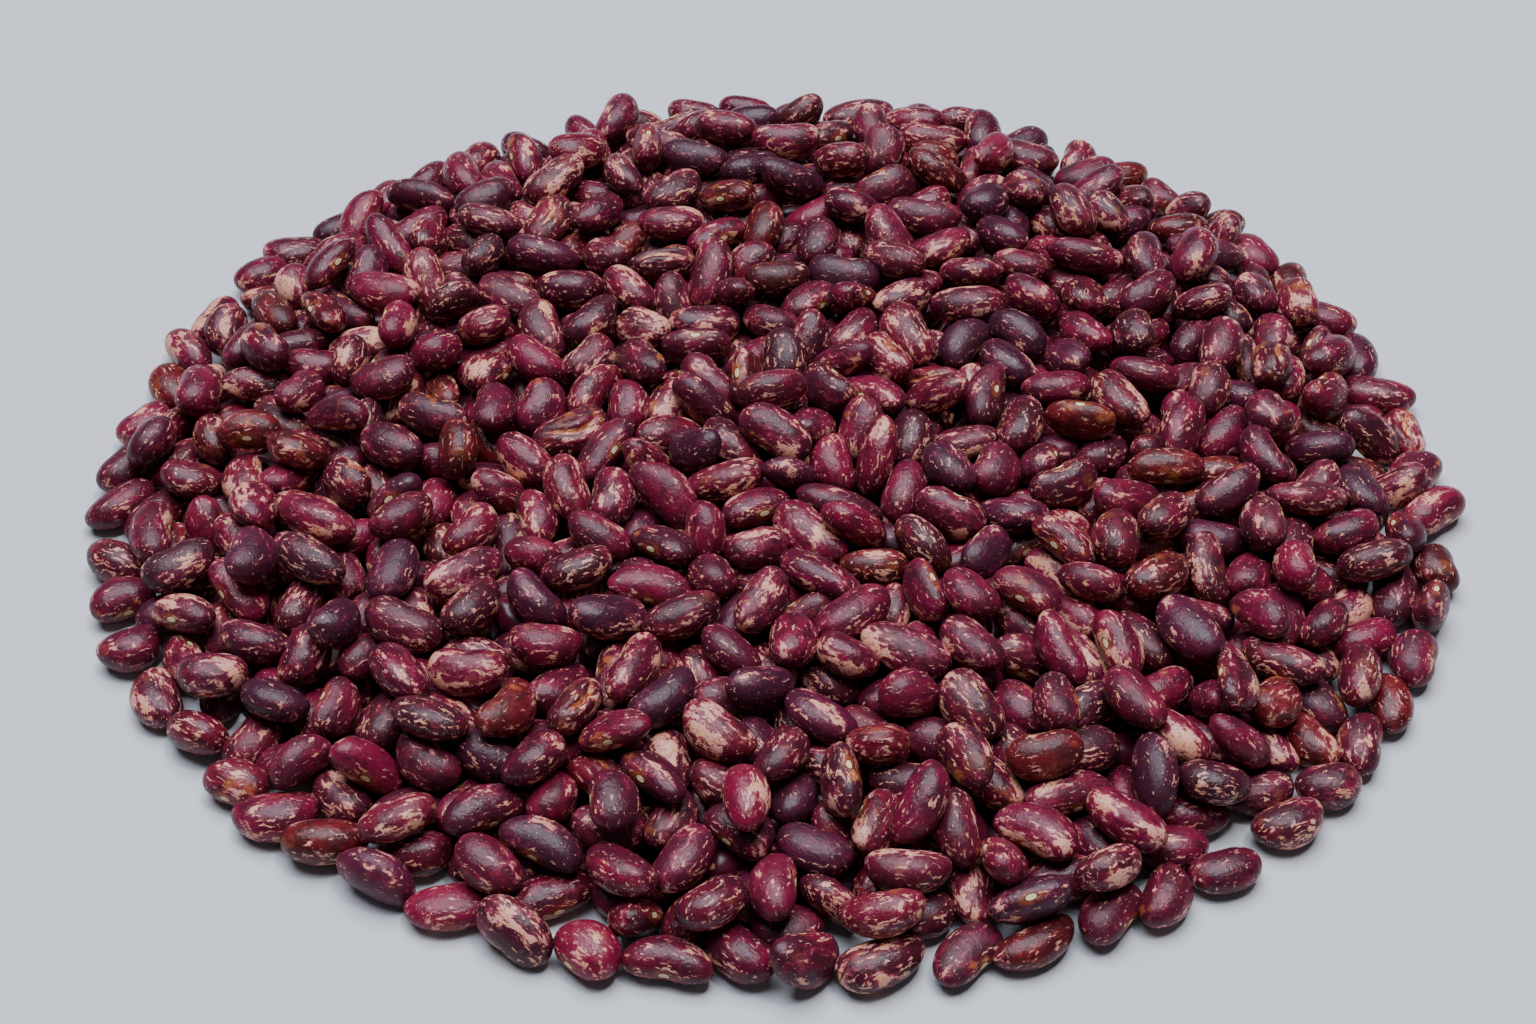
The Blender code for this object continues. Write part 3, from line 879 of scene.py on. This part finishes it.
def painted_shade_core_material():
    """Painted shade: a near-black coat for the darkness between the lowest beans."""
    material = bpy.data.materials.new("heap_core_painted_shade")
    n = Nodes(material)
    clouds = n.noise(n.object_place(), "core")
    n.link(n.mix(clouds, *CORE_SHADE_TONES), n.shader.inputs["Base Color"])
    least, more = CORE_ROUGHNESS
    n.link(n.math("MULTIPLY_ADD", clouds, more, least), n.shader.inputs["Roughness"])
    return material


def add_piece(name, mesh, material):
    """An object that rides with the heap and stands for its solid."""
    mesh.materials.append(material)
    piece = bpy.data.objects.new(name, mesh)
    bpy.context.scene.collection.objects.link(piece)
    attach(piece, "root")
    return piece


def make_beans(name, mesh_size, beans, draw, material, wrinkled=False):
    """One piece with all the beans of a kind."""
    centres, axes, size = beans
    grid = Grid(*mesh_size)
    skin, crack = bean_skin(grid, size, draw, wrinkled)
    place = np.einsum("nij,nkj->nki", axes, skin) + centres[:, None, :]
    lowest = place[:, :, 2].min(axis=1)
    place[:, :, 2] += np.maximum(0, -lowest)[:, None]
    chance = np.repeat(draw.uniform(0, 1, (len(size), 1, 3)), grid.along.size, axis=1)
    attributes = (
        ("coat_place", "FLOAT_VECTOR", skin / MM),
        ("coat_chance", "FLOAT_VECTOR", chance),
        ("coat_crack", "FLOAT", crack),
    )
    mesh = joined_mesh(name, grid, place, tile_spots(grid, len(size)), attributes)
    return add_piece(name, mesh, material)


def make_core():
    """A low bumpy dome that closes the heap between the lowest beans, coloured as painted shade."""
    grid = Grid(*CORE_MESH)
    share = np.sqrt(np.clip(1 - np.abs(grid.along), 0, 1))
    radius = (outline_radius(grid.angle) - CORE_INSET) * share
    x = radius * np.cos(grid.angle)
    y = radius * np.sin(grid.angle)
    bumps = np.sin(x / CORE_BUMP_PITCH[0]) * np.cos(y / CORE_BUMP_PITCH[1])
    crown = CORE_TOP * (1 - share ** CORE_FLATNESS)
    crown = crown + CORE_BUMP * bumps * (1 - share ** (2 * CORE_FLATNESS))
    z = CORE_FOOT + np.where(grid.along > 0, crown, 0)
    place = np.stack([x - HEAP_MIDDLE[0], y - HEAP_MIDDLE[1], z], axis=1)[None]
    mesh = joined_mesh("heap_core_painted_shade", grid, place, grid.spots[None], ())
    return add_piece("heap_core_painted_shade", mesh, painted_shade_core_material())


def make_heap():
    """Every bean of the heap, sorted into kinds, and the core."""
    centres, axes, size = lay_beans()
    cells = shown_cells(centres, axes, size)
    centres = centres - np.array([*HEAP_MIDDLE, 0])
    draw = np.random.default_rng(COAT_SEED)
    turned = (axes[:, 1, 1] > 0) & (draw.uniform(0, 1, len(centres)) < BELLIES_TURNED)
    axes[turned] *= np.array([-1, -1, 1])
    shown = cells >= SHOWN_CELLS
    coats = {name: Coat(*row) for name, row in KINDS.items()}
    shares = np.array([coat.share for coat in coats.values()])
    kind = draw.choice(len(coats), len(centres), p=shares / shares.sum())
    pieces = []
    for number, (name, coat) in enumerate(coats.items()):
        picked = shown & (kind == number)
        beans = (centres[picked], axes[picked], size[picked])
        wrinkled = name == "wrinkled_beans"
        mesh_size = WRINKLED_MESH if wrinkled else SHOWN_MESH
        material = bean_material(name, coat)
        pieces.append(make_beans(name, mesh_size, beans, draw, material, wrinkled))
    beans = (centres[~shown], axes[~shown], size[~shown])
    pieces.append(make_beans("buried_beans", BURIED_MESH, beans, draw, buried_material()))
    pieces.append(make_core())
    for piece in pieces:
        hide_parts("bean_heap")


def make_floor():
    """A plain pale floor."""
    bpy.ops.mesh.primitive_plane_add(size=FLOOR_SIZE)
    floor = bpy.context.object
    floor.name = "floor"
    material = bpy.data.materials.new("floor")
    n = Nodes(material)
    colour = n.mix(n.noise(n.object_place(), "floor"), *FLOOR_TONES)
    n.link(colour, n.shader.inputs["Base Color"])
    n.shader.inputs["Roughness"].default_value = FLOOR_ROUGHNESS
    floor.data.materials.append(material)


def add_sky(name, way, breadth, strength, colour):
    """A broad round patch of sky that lights the heap from a direction."""
    lamp = bpy.data.lights.new(name, "SUN")
    lamp.angle = math.radians(breadth)
    lamp.energy = strength
    lamp.color = colour
    holder = bpy.data.objects.new(name, lamp)
    holder.location = way
    holder.rotation_euler = (-Vector(way)).to_track_quat("-Z", "Y").to_euler()
    bpy.context.scene.collection.objects.link(holder)


def make_lights():
    """Broad cool light from above, a little behind the heap, glints and a weak fill in front."""
    world = bpy.data.worlds.new("studio")
    world.use_nodes = True
    background = world.node_tree.nodes["Background"]
    background.inputs["Color"].default_value = AMBIENT_COLOUR
    background.inputs["Strength"].default_value = AMBIENT_STRENGTH
    bpy.context.scene.world = world
    for patch in SKY:
        add_sky(*patch)


def make_camera():
    """The photograph's camera, aimed at the middle of the heap's foot."""
    camera = bpy.data.cameras.new("camera")
    holder = bpy.data.objects.new("camera", camera)
    bpy.context.scene.collection.objects.link(holder)
    rise = math.radians(CAMERA_ELEVATION)
    way = Vector((0, -math.cos(rise), math.sin(rise)))
    holder.location = way * CAMERA_DISTANCE
    holder.rotation_euler = (-way).to_track_quat("-Z", "Y").to_euler()
    wide, high = FRAME_PIXELS
    camera.sensor_width = SENSOR
    camera.lens = SENSOR * FOCAL_PIXELS / wide
    camera.shift_x = -(HEAP_PIXEL[0] - wide / 2) / wide
    camera.shift_y = (HEAP_PIXEL[1] - high / 2) / wide
    camera.clip_start = CAMERA_CLIP
    bpy.context.scene.camera = holder


make_camera()
make_heap()
make_floor()
make_lights()
